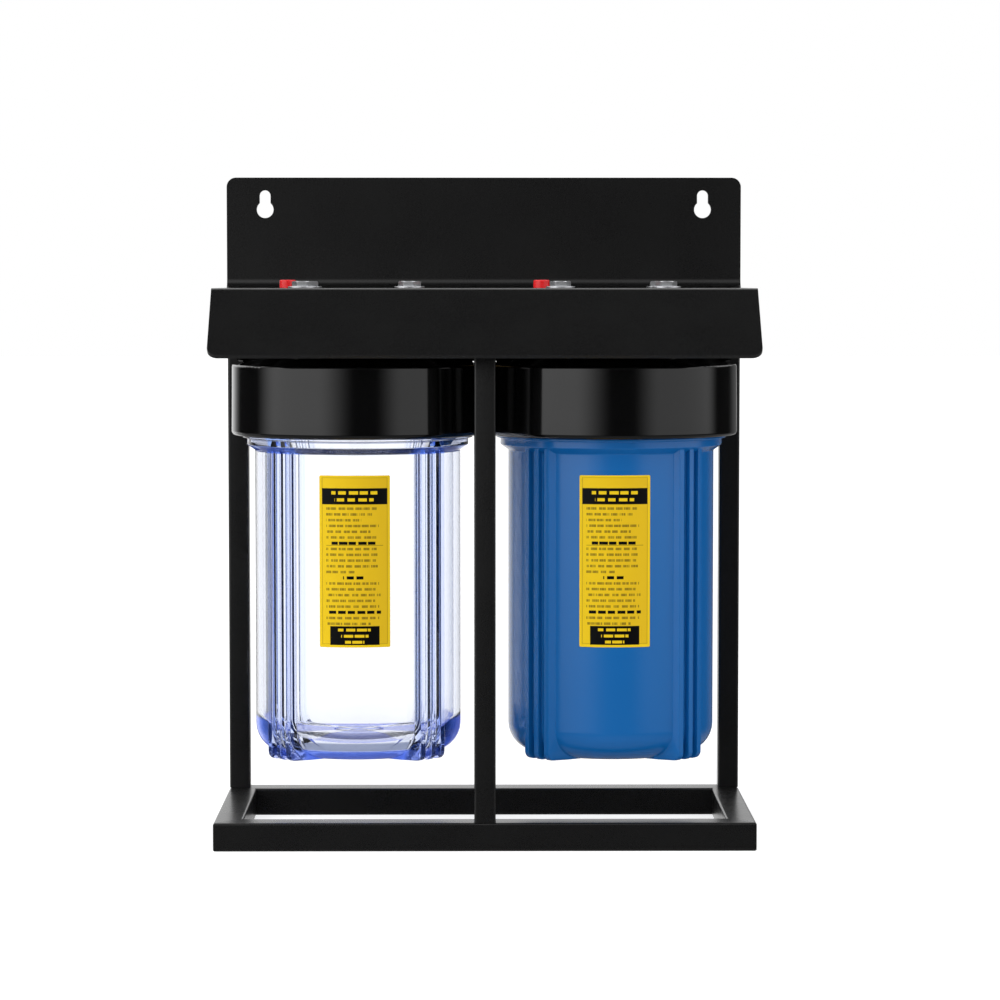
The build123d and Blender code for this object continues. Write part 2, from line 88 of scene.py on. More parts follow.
class Slot(Enum):
    """The record's material slots."""

    FRAME = "frame_coating"
    HEAD = "head_plastic"
    BUSH = "bush_plastic"
    CLEAR = "clear_plastic"
    BLUE = "blue_plastic"
    LABEL = "label_film"
    BUTTON = "button_plastic"
    ZINC = "zinc_plate"
    STAINLESS = "stainless_steel"
    SPRING = "spring_steel"
    BRASS = "nipple_brass"
    RUBBER = "seal_rubber"
    MEDIA = "cartridge_media"
    CARTRIDGE_PLASTIC = "cartridge_plastic"
    CARTRIDGE_RUBBER = "cartridge_rubber"


def operators(operation: str) -> tuple[Callable, Callable]:
    """Make an operator, plain and reflected, that adds a Math node to a signal's graph."""

    def plain(signal: "Signal", *others: "Signal | float") -> "Signal":
        """Add the node with the signal first."""
        return signal.graph.maths(operation, signal, *others)

    def reflected(signal: "Signal", other: float) -> "Signal":
        """Add the node with the signal last."""
        return signal.graph.maths(operation, other, signal)

    return plain, reflected


class Signal:
    """A number at every point of a surface, with operators that add Math nodes."""

    __add__, __radd__ = operators("ADD")
    __sub__, __rsub__ = operators("SUBTRACT")
    __mul__, __rmul__ = operators("MULTIPLY")
    __truediv__, __rtruediv__ = operators("DIVIDE")
    __mod__, __rmod__ = operators("FLOORED_MODULO")
    __gt__ = operators("GREATER_THAN")[0]
    __lt__ = operators("LESS_THAN")[0]
    __abs__ = operators("ABSOLUTE")[0]
    either = operators("MAXIMUM")[0]

    def __init__(self, graph: "Graph", socket: Socket) -> None:
        """Wrap a socket of a graph."""
        self.graph = graph
        self.socket = socket

    def rise(self, low: float, high: float) -> "Signal":
        """Go smoothly from 0 at low to 1 at high."""
        inputs = {"Value": self, "From Min": low, "From Max": high}
        return self.graph.signal("MapRange", "Result", inputs, interpolation_type="SMOOTHSTEP")

    def between(self, low: float, high: float, edge: float) -> "Signal":
        """Give 1 from low to high with soft edges, else 0."""
        return self.rise(low - edge, low + edge) * (1 - self.rise(high - edge, high + edge))


class Graph:
    """One node tree, of a material or of the world."""

    def __init__(self, tree: bpy.types.NodeTree) -> None:
        """Start with an empty tree."""
        self.tree = tree
        self.tree.nodes.clear()

    def node(self, kind: str, inputs: dict | None = None, **settings: object) -> Node:
        """Add a node.

        Args:
            kind: The node's type, less its prefix.
            inputs: Values or links, by the name or number of the socket.
            settings: The node's own settings, which are set first.

        Returns:
            The new node.
        """
        made = self.tree.nodes.new(f"ShaderNode{kind}")
        for key, value in settings.items():
            setattr(made, key, value)
        for key, value in (inputs or {}).items():
            self.feed(made.inputs[key], value)
        return made

    def feed(self, socket: Socket, value: object) -> None:
        """Set an input's value, or link it to a signal, a socket or a node's first output."""
        if isinstance(value, Node):
            value = value.outputs[0]
        if isinstance(value, Signal):
            value = value.socket
        if isinstance(value, Socket):
            self.tree.links.new(value, socket)
        else:
            socket.default_value = (*value, 1.0) if socket.type == "RGBA" else value

    def signal(self, kind: str, output: str | int, inputs: dict | None = None, **settings: object) -> Signal:
        """Add a node and give one of its outputs."""
        return Signal(self, self.node(kind, inputs, **settings).outputs[output])

    def maths(self, operation: str, *values: Signal | float) -> Signal:
        """Add a Math node on the values given."""
        return self.signal("Math", 0, dict(enumerate(values)), operation=operation)

    def place(self) -> Socket:
        """Give the point's place in the object's own coordinates."""
        return self.node("TexCoord").outputs["Object"]

    def stretched(self, scale: Colour) -> Node:
        """Scale the point's place differently along its three axes."""
        return self.node("VectorMath", {0: self.place(), 1: scale}, operation="MULTIPLY")

    def point(self, across: Signal, along: Signal | float) -> Socket:
        """Join two numbers to a point in a plane."""
        return self.node("CombineXYZ", {0: across, 1: along}).outputs[0]

    def axes(self, source: Socket) -> list[Signal]:
        """Split a coordinate into three signals."""
        return [Signal(self, output) for output in self.node("SeparateXYZ", {0: source}).outputs]

    def noise(self, size: float, detail: float = 2.0, source: object = None) -> Signal:
        """Give smooth random values from 0 to 1 whose lumps are about size metres across."""
        inputs = {"Vector": source or self.place(), "Scale": 1 / size, "Detail": detail}
        return self.signal("TexNoise", "Fac", inputs, noise_dimensions="3D")

    def chance(self, seed: Signal | float | Socket) -> Signal:
        """Give a number from 0 to 1 drawn by a seed, which is a number or a point in a plane."""
        kind, name = ("2D", "Vector") if isinstance(seed, Socket) else ("1D", "W")
        return self.signal("TexWhiteNoise", "Value", {name: seed}, noise_dimensions=kind)

    def mix(self, first: object, second: object, share: Signal | float) -> Socket:
        """Mix two colours, from the first at share 0 to the second at share 1."""
        return self.node("Mix", {0: share, 6: first, 7: second}, data_type="RGBA").outputs[2]

    def blend(self, first: Node, second: Node, share: Signal) -> Node:
        """Mix two shaders, from the first at share 0 to the second at share 1."""
        return self.node("MixShader", {0: share, 1: first, 2: second})

    def bump(self, height: Signal, depth: float, under: Socket | None = None) -> Socket:
        """Bend the normal, or another bump's, by a height from 0 to 1 that spans depth metres."""
        inputs = {"Height": height, "Distance": depth, "Strength": 1.0}
        if under:
            inputs["Normal"] = under
        return self.node("Bump", inputs).outputs["Normal"]

    def finish(self, inputs: dict) -> None:
        """End a material's tree with its surface shader."""
        self.node("OutputMaterial", {"Surface": self.node("BsdfPrincipled", inputs)})


def material_graph(name: str) -> tuple[bpy.types.Material, Graph]:
    """Start a material and its graph."""
    made = bpy.data.materials.new(name)
    made.use_nodes = True
    return made, Graph(made.node_tree)


@dataclass(frozen=True)
class Finish:
    """A material for one of the record's slots."""

    slot: Slot

    def make(self) -> bpy.types.Material:
        """Make the material from the finish's own nodes."""
        made, graph = material_graph(self.slot.value)
        self.draw(graph)
        return made

    def draw(self, graph: Graph) -> None:
        """Add the finish's nodes."""
        raise NotImplementedError


@dataclass(frozen=True)
class PowderCoat(Finish):
    """Black powder coat: semi-gloss, with the fine orange peel of a baked coat."""

    colour: Colour = (0.0040, 0.0040, 0.0042)
    dusty: Colour = (0.0062, 0.0062, 0.0063)
    roughness: float = 0.28
    cloud_size: float = 45 * MM
    grain_size: float = 0.35 * MM
    peel_size: float = 1.3 * MM
    peel_depth: float = 0.012 * MM

    def draw(self, graph: Graph) -> None:
        """Cloud the colour and the gloss, and dimple the coat."""
        cloud = graph.noise(self.cloud_size, 3.0)
        grain = graph.noise(self.grain_size, 1.0)
        graph.finish({
            "Base Color": graph.mix(self.colour, self.dusty, cloud * 0.6 + grain * 0.3),
            "Roughness": self.roughness + (cloud - 0.5) * 0.06 + (grain - 0.5) * 0.08,
            "IOR": 1.5,
            "Normal": graph.bump(graph.noise(self.peel_size) + grain * 0.15, self.peel_depth),
        })


@dataclass(frozen=True)
class MouldedPlastic(Finish):
    """Injection-moulded plastic with faint flow, a fine skin and slight sinks."""

    colour: Colour
    cloudy: Colour
    roughness: float
    flow_size: float = 60 * MM
    skin_size: float = 0.5 * MM
    skin_depth: float = 0.003 * MM
    sink_size: float = 38 * MM
    sink_depth: float = 0.05 * MM

    def draw(self, graph: Graph) -> None:
        """Draw the flow upwards, and lay the skin over the sinks."""
        flow = graph.noise(self.flow_size, 2.0, graph.stretched((1.0, 1.0, 0.25)))
        skin = graph.noise(self.skin_size)
        sinks = graph.bump(graph.noise(self.sink_size, 0.0), self.sink_depth)
        graph.finish({
            "Base Color": graph.mix(self.colour, self.cloudy, flow),
            "Roughness": self.roughness + (flow - 0.5) * 0.05 + (skin - 0.5) * 0.06,
            "IOR": 1.5,
            "Normal": graph.bump(skin, self.skin_depth, sinks),
        })


@dataclass(frozen=True)
class ClearPlastic(Finish):
    """Clear moulded plastic with painted light in its colour: a painted blue cast on the ribs and foot, painted
    grey shade bands, and haze with a painted glow where light enters its thicker parts.

    Attributes:
        crest: How far beyond the wall the ribs' painted blue cast starts and is full.
        flat: The radii over which the flat under the floor ends.
        skin: The radii over which the outer skin starts.
        foot: The heights over which the foot's painted blue fades away.
        shade: The heights of the painted grey shade band over it.
        group_edge: The distance from a group's middle, over the radius, over which it ends.
        hazy: The share of haze, with its painted glow, in the ribs, the foot, the corner and the collar's
            slope.
    """

    tint: Colour = (0.34, 0.52, 1.0)
    tint_density: float = 13.0
    # painted blue at the foot
    painted_foot_blue: Colour = (0.16, 0.28, 1.0)
    # painted shade: the grey of the band over the foot
    shaded: Colour = (0.135, 0.160, 0.245)
    # painted blue cast on the ribs
    painted_rib_cast: Colour = (0.80, 0.86, 1.0)
    # painted grey on the collar's slope, and painted blue where it faces sideways
    painted_collar_grey: Colour = (0.205, 0.215, 0.265)
    painted_collar_side_blue: Colour = (0.10, 0.22, 0.75)
    # painted grey on the lip
    painted_lip_grey: Colour = (0.40, 0.42, 0.52)
    haze: Colour = (0.16, 0.30, 1.0)
    # painted glow of the haze, though it is no lamp
    painted_glow_colour: Colour = (0.04, 0.10, 1.0)
    glow: float = 0.34
    axis: Span = axis_of("clear_sump")
    wall: float = 73.8 * MM
    crest: Span = (0.5 * MM, 3 * MM)
    flat: Span = (54 * MM, 58 * MM)
    skin: Span = (64.5 * MM, 66.5 * MM)
    foot: Span = (66.6 * MM, 68.4 * MM)
    shade: Span = (67.5 * MM, 73.8 * MM)
    corner: Span = (84.5 * MM, 87.5 * MM)
    collar: Span = (276.6 * MM, 281.4 * MM)
    lip: Span = (284.8 * MM, 286.1 * MM)
    edge: float = 0.3 * MM
    group_edge: Span = (0.29, 0.35)
    hazy: Numbers = (0.10, 0.62, 0.72, 0.20)
    roughness: float = 0.012
    refraction: float = 1.5

    def draw(self, graph: Graph) -> None:
        """Tint the ways in by height and radius with painted shade and painted blue, and mix haze with a
        painted glow into the thicker parts.
        """
        flow = graph.noise(30 * MM, 1.0, graph.stretched((1.0, 1.0, 0.3)))
        across, deep, height = graph.axes(graph.place())
        offset, back = across - self.axis[0], deep - self.axis[1]
        radius = graph.maths("SQRT", offset * offset + back * back)
        edge_on = graph.signal("LayerWeight", "Facing", {"Blend": 0.5})
        outside = 1 - graph.signal("NewGeometry", "Backfacing")
        ribs = (radius - self.wall).rise(*self.crest) * (1 - height.rise(*self.collar))
        grouped = 1 - (abs(abs(offset) - abs(back)) / radius).rise(*self.group_edge)
        plain = (1 - ribs) * outside
        # Painted blue low on the foot, outside the middle of the flat underside, weaker within the rib groups.
        low = (1 - height.rise(*self.foot)) * radius.rise(*self.flat) * plain * (1 - grouped * 0.65)
        # Painted by the view: the foot's corner hazes most where it is seen edge-on.
        corner = (1 - height.rise(*self.corner)) * edge_on.rise(0.35, 0.85) * plain * (1 - grouped)
        # Painted shade: a grey band on the outer skin over the foot, lighter within the rib groups.
        shade = height.between(*self.shade, 0.7 * MM) * radius.rise(*self.skin) * plain
        # Painted grey on the collar's slope, turning to painted blue over the rib groups and where the view
        # meets it edge-on.
        sloped = height.between(*self.collar, self.edge)
        sideways = grouped.either(edge_on.rise(0.4, 0.8))
        # Painted light over the clear colour: painted blue cast on the ribs, painted grey shade band, painted
        # blue at the foot, painted grey and blue on the collar's slope, painted grey on the lip.
        colour = graph.mix(WHITE, self.painted_rib_cast, ribs)
        colour = graph.mix(colour, self.shaded, shade * (1 - grouped * 0.7))
        colour = graph.mix(colour, self.painted_foot_blue, low)
        colour = graph.mix(colour, graph.mix(self.painted_collar_grey, self.painted_collar_side_blue, sideways), sloped)
        # Painted grey on the lip.
        colour = graph.mix(colour, self.painted_lip_grey, height.between(*self.lip, self.edge))
        clear = graph.node("BsdfPrincipled", {
            "Base Color": colour,
            "Roughness": self.roughness + (flow - 0.5) * 0.012,
            "IOR": self.refraction,
            "Transmission Weight": 1.0,
            "Normal": graph.bump(flow, 0.005 * MM),
        })
        # Haze: a diffuse blue with a painted glow.
        haze_with_painted_glow = graph.node("BsdfPrincipled", {
            "Base Color": self.haze,
            "Roughness": 0.12 + (flow - 0.5) * 0.05,
            "IOR": self.refraction,
            "Emission Color": self.painted_glow_colour,
            "Emission Strength": self.glow,
        })
        in_ribs, in_foot, in_corner, in_slope = self.hazy
        # The haze and its painted glow lie on the ribs, the foot, the corner seen edge-on and the collar's
        # sides.
        share = (ribs * outside * in_ribs + low * in_foot + corner * (1 - low) * in_corner
                 + sloped * sideways * outside * in_slope)
        graph.node("OutputMaterial", {
            "Surface": graph.blend(clear, haze_with_painted_glow, share),
            "Volume": graph.node("VolumeAbsorption", {"Color": self.tint, "Density": self.tint_density}),
        })


@dataclass(frozen=True)
class PrintedFilm(Finish):
    """Yellow label film with plain printed blocks, bars and rules, placed by the label's own UV map.

    Places are shares of the width from the left and of the height from the top. An area is given as its
    left, right, top and low edge.

    Attributes:
        rows: The first row's place and the step between rows.
        last: How many steps below the first row the rows end.
        heads: Each bold row's number, with where it starts and ends.
        short: The numbers of the short rows.
        lines: The left, right, middle and height of each yellow row in the bars.
        outer: The area that the frame line holds, with the line, as inner is without it.
        cells: The lengths of the blocks' cells in plain rows, bold rows and bars.
    """

    yellow: Colour = (0.745, 0.480, 0.0095)
    # painted light: the paper's lighter left side, also the yellow of the print in the bars
    print_and_painted_light_yellow: Colour = (0.830, 0.560, 0.0085)
    rim: Colour = (0.840, 0.580, 0.009)
    ink: Colour = (0.0012, 0.0012, 0.0012)
    grey_ink: Colour = (0.120, 0.078, 0.006)
    rule: Colour = (0.42, 0.25, 0.006)
    back: Colour = (0.62, 0.55, 0.33)
    rows: Span = (0.192, 0.0335)
    last: float = 20.5
    margin: float = 0.10
    heads: tuple[Numbers, ...] = ((6, 0.176, 0.817), (12, 0.337, 0.644), (18, 0.137, 0.868))
    short: tuple[int, ...] = (2, 11)
    underline: Numbers = (0.10, 0.90, 0.4045, 0.4075)
    bars: tuple[Numbers, ...] = ((0.04, 0.96, 0.074, 0.168), (0.154, 0.846, 0.876, 0.986))
    lines: tuple[Numbers, ...] = (
        (0.176, 0.817, 0.1005, 0.019), (0.222, 0.766, 0.141, 0.018),
        (0.265, 0.720, 0.898, 0.016), (0.310, 0.690, 0.934, 0.016), (0.364, 0.632, 0.969, 0.016),
    )
    outer: Numbers = (0.035, 0.965, 0.011, 0.982)
    inner: Numbers = (0.049, 0.953, 0.015, 0.978)
    cells: Numbers = (0.115, 0.135, 0.15)
    roughness: float = 0.40

    def blocks(self, graph: Graph, across: Signal, row: Signal | float, size: float) -> Signal:
        """Give 1 on the blocks along a row, one in each cell of the size given, of random length."""
        place = across / size + graph.chance(row)
        chance = graph.chance(graph.point(graph.maths("FLOOR", place), row))
        return (place % 1) < (0.66 + chance * 0.26)

    def draw(self, graph: Graph) -> None:
        """Lay out the rows, bars and rules, print them on the film, and paint light on the paper, lighter on
        its left.
        """
        across, up, _ = graph.axes(graph.node("TexCoord").outputs["UV"])
        down = 1 - up

        def area(left: float, right: float, top: float, low: float) -> Signal:
            """Give 1 inside an area, else 0."""
            return across.between(left, right, 0.004) * down.between(top, low, 0.0016)

        first, step = self.rows
        place = (down - (first - step / 2)) / step
        row = graph.maths("FLOOR", place)
        phase = abs(place % 1 - 0.5)
        listed = down.between(first - step / 2, first + self.last * step, 0.0005)
        fine = graph.noise(0.011, 0.0, graph.point(across, row * 0.37))
        strokes = self.blocks(graph, across, row, self.cells[0]) * (0.30 + fine.rise(0.30, 0.50) * 0.70)
        stopped = sum((abs(row - number) < 0.5) for number in self.short) * 0.26
        ending = 0.72 + graph.chance(row) * 0.15 - stopped
        heads = [(abs(row - number) < 0.5, across.between(left, right, 0.004))
                 for number, left, right in self.heads]
        chosen = sum(here for here, _ in heads)
        bold = sum(here * span for here, span in heads)
        body = (phase < 0.22) * listed * (1 - chosen) * (across > self.margin) * (across < ending) * strokes
        strong = (phase < 0.27) * listed * bold * self.blocks(graph, across, row, self.cells[1])
        bars = area(*self.bars[0]).either(area(*self.bars[1]))
        inverse = sum(
            area(left, right, middle - height / 2, middle + height / 2)
            * self.blocks(graph, across, middle * 97, self.cells[2])
            for left, right, middle, height in self.lines)
        framed, inside = [
            across.between(left, right, 0.002) * down.between(top, low, 0.001)
            for left, right, top, low in (self.outer, self.inner)]
        # Painted light: the paper lighter on its left, darker to the right.
        paper = graph.mix(self.print_and_painted_light_yellow, self.yellow, across.rise(0.0, 0.8))
        paper = graph.mix(self.rim, paper, framed)
        paper = graph.mix(paper, self.rule, framed * (1 - inside) * 0.6)
        printed = graph.mix(paper, self.grey_ink, (body * 0.75).either(area(*self.underline) * 0.8))
        printed = graph.mix(printed, self.ink, bars.either(strong))
        printed = graph.mix(printed, self.print_and_painted_light_yellow, inverse)
        printed = graph.mix(printed, self.back, down < -0.5)
        fibre = graph.noise(0.25 * MM, 1.0)
        graph.finish({
            "Base Color": printed,
            "Roughness": self.roughness + (fibre - 0.5) * 0.08,
            "IOR": 1.4,
            "Specular IOR Level": 0.2,
            "Normal": graph.bump(fibre + graph.noise(9 * MM, 1.0), 0.006 * MM),
        })


@dataclass(frozen=True)
class Metal(Finish):
    """Bare or plated metal with fine turned or drawn marks."""

    colour: Colour
    stained: Colour
    roughness: float

    def draw(self, graph: Graph) -> None:
        """Cloud the colour and the gloss, and draw the marks round the piece."""
        cloud = graph.noise(4 * MM, 3.0)
        marks = graph.noise(0.3 * MM, 2.0, graph.stretched((1.0, 1.0, 6.0)))
        graph.finish({
            "Base Color": graph.mix(self.colour, self.stained, cloud),
            "Metallic": 1.0,
            "Roughness": self.roughness + (cloud - 0.5) * 0.12 + (marks - 0.5) * 0.08,
            "Normal": graph.bump(marks, 0.004 * MM),
        })


@dataclass(frozen=True)
class Rubber(Finish):
    """Moulded sealing rubber."""

    colour: Colour = (0.010, 0.010, 0.010)
    bloom: Colour = (0.028, 0.027, 0.025)

    def draw(self, graph: Graph) -> None:
        """Cloud the rubber with a pale bloom."""
        cloud = graph.noise(6 * MM, 3.0)
        graph.finish({
            "Base Color": graph.mix(self.colour, self.bloom, cloud * 0.7),
            "Roughness": 0.55 + (cloud - 0.5) * 0.15,
            "Normal": graph.bump(graph.noise(0.3 * MM), 0.008 * MM),
        })


@dataclass(frozen=True)
class SpunMedia(Finish):
    """Melt-spun filter fibre: white and matt, with strands laid round it."""

    colour: Colour = (0.74, 0.73, 0.69)
    shade: Colour = (0.55, 0.54, 0.50)

    def draw(self, graph: Graph) -> None:
        """Lay the strands, shaded in their gaps."""
        strands = graph.noise(1.2 * MM, 4.0, graph.stretched((0.35, 0.35, 1.6)))
        graph.finish({
            "Base Color": graph.mix(self.shade, self.colour, strands.rise(0.3, 0.6)),
            "Roughness": 0.92 + (strands - 0.5) * 0.1,
            "Normal": graph.bump(strands, 0.25 * MM),
        })


def make_finishes() -> dict[Slot, bpy.types.Material]:
    """Make every material, one for each slot."""
    blue_skin = 0.006 * MM
    finishes = [
        PowderCoat(Slot.FRAME),
        MouldedPlastic(Slot.HEAD, (0.0015, 0.0015, 0.0016), (0.0024, 0.0024, 0.0026), 0.11),
        MouldedPlastic(Slot.BUSH, (0.008, 0.008, 0.008), (0.012, 0.012, 0.012), 0.4),
        ClearPlastic(Slot.CLEAR),
        MouldedPlastic(Slot.BLUE, (0.0035, 0.118, 0.385), (0.0050, 0.124, 0.400), 0.19, skin_depth=blue_skin),
        PrintedFilm(Slot.LABEL),
        MouldedPlastic(Slot.BUTTON, (0.83, 0.011, 0.015), (0.88, 0.016, 0.019), 0.25),
        Metal(Slot.ZINC, (0.74, 0.75, 0.77), (0.64, 0.65, 0.67), 0.40),
        Metal(Slot.STAINLESS, (0.56, 0.55, 0.53), (0.50, 0.49, 0.47), 0.22),
        Metal(Slot.SPRING, (0.50, 0.49, 0.47), (0.42, 0.41, 0.40), 0.28),
        Metal(Slot.BRASS, (0.72, 0.50, 0.20), (0.60, 0.40, 0.16), 0.30),
        Rubber(Slot.RUBBER),
        SpunMedia(Slot.MEDIA),
        MouldedPlastic(Slot.CARTRIDGE_PLASTIC, (0.70, 0.70, 0.68), (0.76, 0.76, 0.74), 0.45),
        Rubber(Slot.CARTRIDGE_RUBBER, (0.018, 0.018, 0.019), (0.035, 0.034, 0.033)),
    ]
    return {finish.slot: finish.make() for finish in finishes}


def rounded(corners: list[tuple[float, float, float]], steps: int = 5) -> Array:
    """Round the corners of an open outline.

    Each corner becomes an arc that touches both of its sides, sampled at even angles. One more point
    just off the arc on each side keeps the flats flat when shaded.

    Args:
        corners: For each corner, its place across, its place up and its round. Round 0 keeps the point.
        steps: How many pieces an arc has, or 3 at most where the round is small.

    Returns:
        The points, as rows of across and up.
    """
    places = np.array([corner[:2] for corner in corners], float)
    runs = []
    for index, (_, _, size) in enumerate(corners):
        place = places[index]
        if size <= 0 or index in (0, len(corners) - 1):
            runs.append(place[None])
            continue
        count = steps if size > SMALL_ROUND else min(steps, 3)
        back = places[index - 1] - place
        ahead = places[index + 1] - place
        shares = [0.47 if corners[beside][2] > 0 else 0.94 for beside in (index - 1, index + 1)]
        room = min(shares[0] * np.linalg.norm(back), shares[1] * np.linalg.norm(ahead))
        back, ahead = back / np.linalg.norm(back), ahead / np.linalg.norm(ahead)
        half = np.arccos(np.clip(back @ ahead, -1, 1)) / 2
        reach = min(size / np.tan(half), room)
        size = reach * np.tan(half)
        centre = place + (back + ahead) / np.linalg.norm(back + ahead) * size / np.sin(half)
        first, last = place + back * reach - centre, place + ahead * reach - centre
        turn = np.pi - 2 * half
        share = np.linspace(0, 1, count + 1)[:, None]
        arc = (np.sin((1 - share) * turn) * first + np.sin(share * turn) * last) / np.sin(turn)
        guard = min(0.12 * size, 0.05 * room)
        runs += [(place + back * (reach + guard))[None], centre + arc, (place + ahead * (reach + guard))[None]]
    return np.concatenate(runs)


def refined(points: Array, longest: float) -> Array:
    """Split every stretch of a line of points evenly, so that none spans more than longest across."""
    parts = [points[:1]]
    for start, end in zip(points[:-1], points[1:]):
        count = max(1, int(np.ceil(abs(end[0] - start[0]) / longest)))
        parts.append(start + (end - start) * (np.arange(1, count + 1) / count)[:, None])
    return np.concatenate(parts)


def even_angles(count: int) -> Array:
    """Give the angles of a full circle, without the last, which is the first again."""
    return np.arange(count) * FULL_TURN / count


def polar(centre: Span, radius: Array, angles: Array, height: Array) -> Array:
    """Set rows by columns of points round an upright axis.

    A point lies at the centre plus its radius times the cosine and sine of its angle, at its height.
    """
    across, deep = centre[0] + radius * np.cos(angles), centre[1] + radius * np.sin(angles)
    return np.stack(np.broadcast_arrays(across, deep, height), axis=-1)


def lathe(profile: Array, centre: Span, angles: Array) -> Array:
    """Turn a profile, given as rows of radius and height, about an upright axis."""
    return polar(centre, profile[:, 0, None], angles, profile[:, 1, None])


@dataclass
class Skin:
    """A surface sampled on a grid whose last column joins the first.

    Attributes:
        points: Rows by columns of points. A face looks along (column step) x (row step).
        uv: Rows by columns of places in a print, if the skin carries one.
    """

    points: Array
    uv: Array | None = None

    def quads(self) -> Array:
        """Give the four corners of each face, as numbers into the skin's points."""
        rows, columns = self.points.shape[:2]
        grid = np.arange(rows * columns).reshape(rows, columns)
        ahead = np.roll(grid, -1, axis=1)
        return np.stack([grid[:-1], ahead[:-1], ahead[1:], grid[1:]], axis=-1).reshape(-1, 4)

    def places(self) -> Array:
        """Give the place in the print of each point, or 0 where there is none."""
        uv = np.zeros(self.points.shape[:2] + (2,)) if self.uv is None else self.uv
        return uv.reshape(-1, 2)


def linked(name: str, data: bpy.types.ID) -> Object:
    """Make an object and link it to the scene."""
    made = bpy.data.objects.new(name, data)
    bpy.context.scene.collection.objects.link(made)
    return made


def moulding(name: str, skins: list[Skin], crease: float = CREASE) -> Object:
    """Make one mesh of several skins, with points that coincide joined.

    A face whose corners coincide at a pole loses them and becomes a triangle, or goes.

    Args:
        name: The new object's name.
        skins: The surfaces.
        crease: The angle past which an edge stays sharp.

    Returns:
        The object, linked to the scene.
    """
    points = np.concatenate([skin.points.reshape(-1, 3) for skin in skins])
    offsets = np.cumsum([0] + [skin.points.size // 3 for skin in skins])
    quads = np.concatenate([skin.quads() + offset for skin, offset in zip(skins, offsets)])
    keys = np.round(points / WELD_STEP).astype(np.int64)
    _, first, welded = np.unique(keys, axis=0, return_index=True, return_inverse=True)
    faces = welded.ravel()[quads]
    distinct = faces != np.roll(faces, -1, axis=1)
    whole = distinct.sum(axis=1) > 2
    faces, distinct, quads = faces[whole], distinct[whole], quads[whole]
    sizes = distinct.sum(axis=1)
    mesh = bpy.data.meshes.new(name)
    mesh.vertices.add(len(first))
    mesh.vertices.foreach_set("co", points[first].ravel())
    mesh.loops.add(int(sizes.sum()))
    mesh.loops.foreach_set("vertex_index", faces[distinct].astype(np.int32))
    mesh.polygons.add(len(sizes))
    mesh.polygons.foreach_set("loop_start", (np.cumsum(sizes) - sizes).astype(np.int32))
    mesh.update(calc_edges=True)
    if any(skin.uv is not None for skin in skins):
        spread = np.concatenate([skin.places() for skin in skins])[quads[distinct]]
        mesh.uv_layers.new(name="print").uv.foreach_set("vector", spread.ravel())
    mesh.validate()
    mesh.shade_smooth()
    mesh.set_sharp_from_angle(angle=crease)
    return linked(name, mesh)


def paint(piece: Object, material: bpy.types.Material) -> None:
    """Give every slot of a piece one material."""
    if not piece.data.materials:
        piece.data.materials.append(material)
    for slot in piece.material_slots:
        slot.material = material


@dataclass
class Workshop:
    """What every sub-assembly needs: the finishes and the CAD nodes."""

    finishes: dict[Slot, bpy.types.Material]
    nodes: dict[str, Object]

    def fit(self, piece: Object, body: Body, slot: Slot, stood_for: str) -> None:
        """Paint a new piece, let it ride on its body and hide the node that it stands for."""
        paint(piece, self.finishes[slot])
        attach(piece, body.value)
        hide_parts(stood_for)
        log.info("%s rides on %s", piece.name, body.value)

    def dress(self, slot: Slot, *names: str) -> None:
        """Paint CAD nodes that keep their mesh."""
        for name in names:
            paint(self.nodes[name], self.finishes[slot])
            log.info("%s keeps its mesh", name)

    def eased_copy(self, node: str, name: str, edge: float) -> Object:
        """Copy a CAD node, join its loose triangles and round its edges.

        Args:
            node: The node to copy.
            name: The new piece's name.
            edge: The round of its edges.

        Returns:
            The new piece, with a live bevel.
        """
        mesh = bpy.data.meshes.new(name)
        work = bmesh.new()
        work.from_mesh(self.nodes[node].data)
        bmesh.ops.remove_doubles(work, verts=work.verts, dist=WELD_STEP * 10)
        bmesh.ops.dissolve_limit(work, angle_limit=np.radians(0.4), verts=work.verts, edges=work.edges)
        work.to_mesh(mesh)
        work.free()
        mesh.shade_smooth()
        mesh.set_sharp_from_angle(angle=CREASE)
        made = linked(name, mesh)
        bevel = made.modifiers.new("edges", "BEVEL")
        bevel.width = edge
        bevel.segments = 3
        bevel.limit_method = "ANGLE"
        bevel.angle_limit = CREASE
        bevel.harden_normals = True
        bevel.miter_outer = "MITER_ARC"
        return made


@dataclass
class Stand:
    """The steel frame: base rails, posts and the folded bracket."""

    shop: Workshop
    edge: float = 0.35 * MM
    pieces: tuple[tuple[str, str], ...] = (
        ("base_front_rail", "front_tube"), ("base_rear_rail", "rear_tube"),
        ("base_left_rail", "left_tube"), ("base_right_rail", "right_tube"),
        ("rear_left_post", "left_upright"), ("rear_right_post", "right_upright"),
        ("centre_post", "centre_upright"), ("bracket", "folded_bracket"),
    )

    def build(self) -> None:
        """Copy and ease the tubes and the folded sheet."""
        for node, name in self.pieces:
            self.shop.fit(self.shop.eased_copy(node, name, self.edge), Body.ROOT, Slot.FRAME, node)


